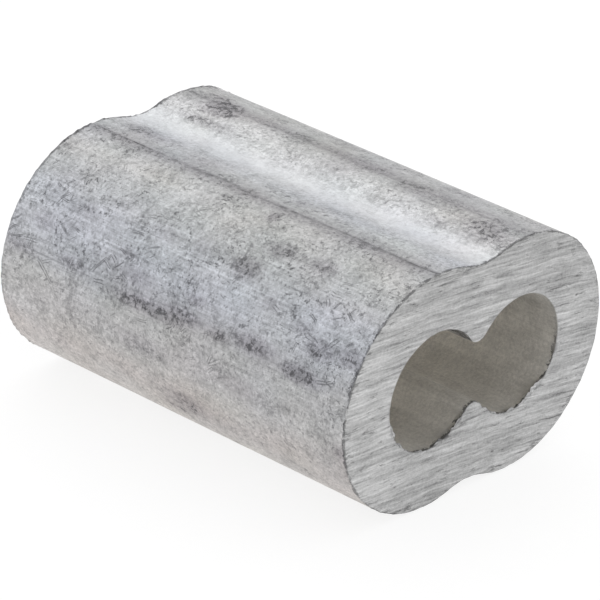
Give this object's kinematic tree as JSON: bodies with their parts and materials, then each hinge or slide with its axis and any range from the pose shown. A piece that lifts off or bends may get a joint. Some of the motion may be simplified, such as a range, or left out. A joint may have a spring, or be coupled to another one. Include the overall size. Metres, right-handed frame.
{
  "type": "wire rope compression sleeve",
  "caption": "Hourglass aluminium sleeve with joined twin bores, pressed around a wire rope and its returning leg to form an end loop.",
  "frame": {"origin": "centre of the sleeve, midway between the two bore axes and the two sawn ends", "axes": "+X across the two bores, +Y along the bores, +Z through the thickness"},
  "size_m": [0.02, 0.0244, 0.0132],
  "materials": {
    "extruded_aluminium": "mill finish extrusion, satin and lightly scuffed, with saw-cut ends"
  },
  "bodies": {
    "root": {"sleeve_body": "extruded_aluminium"}
  },
  "joints": []
}
